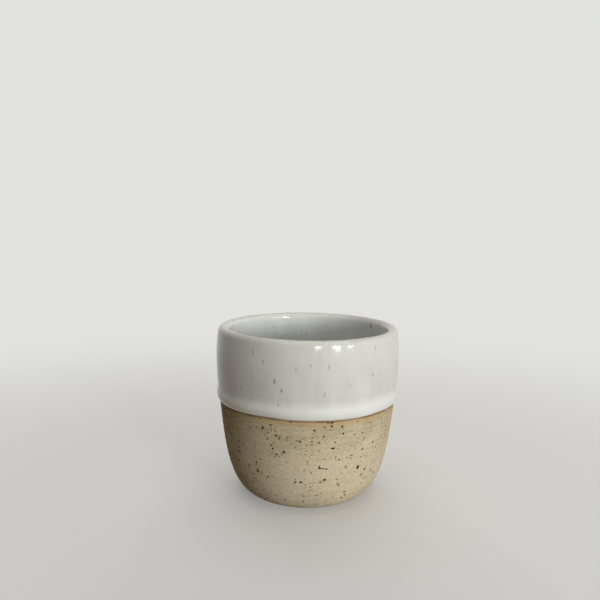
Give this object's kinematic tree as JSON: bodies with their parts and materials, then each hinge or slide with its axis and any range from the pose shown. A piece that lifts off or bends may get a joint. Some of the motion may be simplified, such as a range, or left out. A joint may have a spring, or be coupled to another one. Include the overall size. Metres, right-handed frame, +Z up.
{
  "type": "cappuccino cup",
  "caption": "Handleless wheel-thrown stoneware cup with a rounded heel, bare speckled clay below and a thick rolled edge of white dipped glaze round the rim; holds a milky coffee.",
  "frame": {"origin": "centre of the foot, on the surface that the cup stands on", "axes": "+Z up along the wheel axis, out of the cup's mouth; -Y faces the picture's camera"},
  "size_m": [0.082, 0.082, 0.0748],
  "materials": {
    "speckled_clay": "bare fired stoneware, matte, dense brown iron specks",
    "dipped_glaze": "glossy warm white glaze with soft violet-grey specks",
    "liner_glaze": "glossy warm white glaze, lightly specked"
  },
  "bodies": {
    "root": {"stoneware_body": "speckled_clay", "dipped_glaze": "dipped_glaze", "liner_glaze": "liner_glaze"}
  },
  "joints": []
}
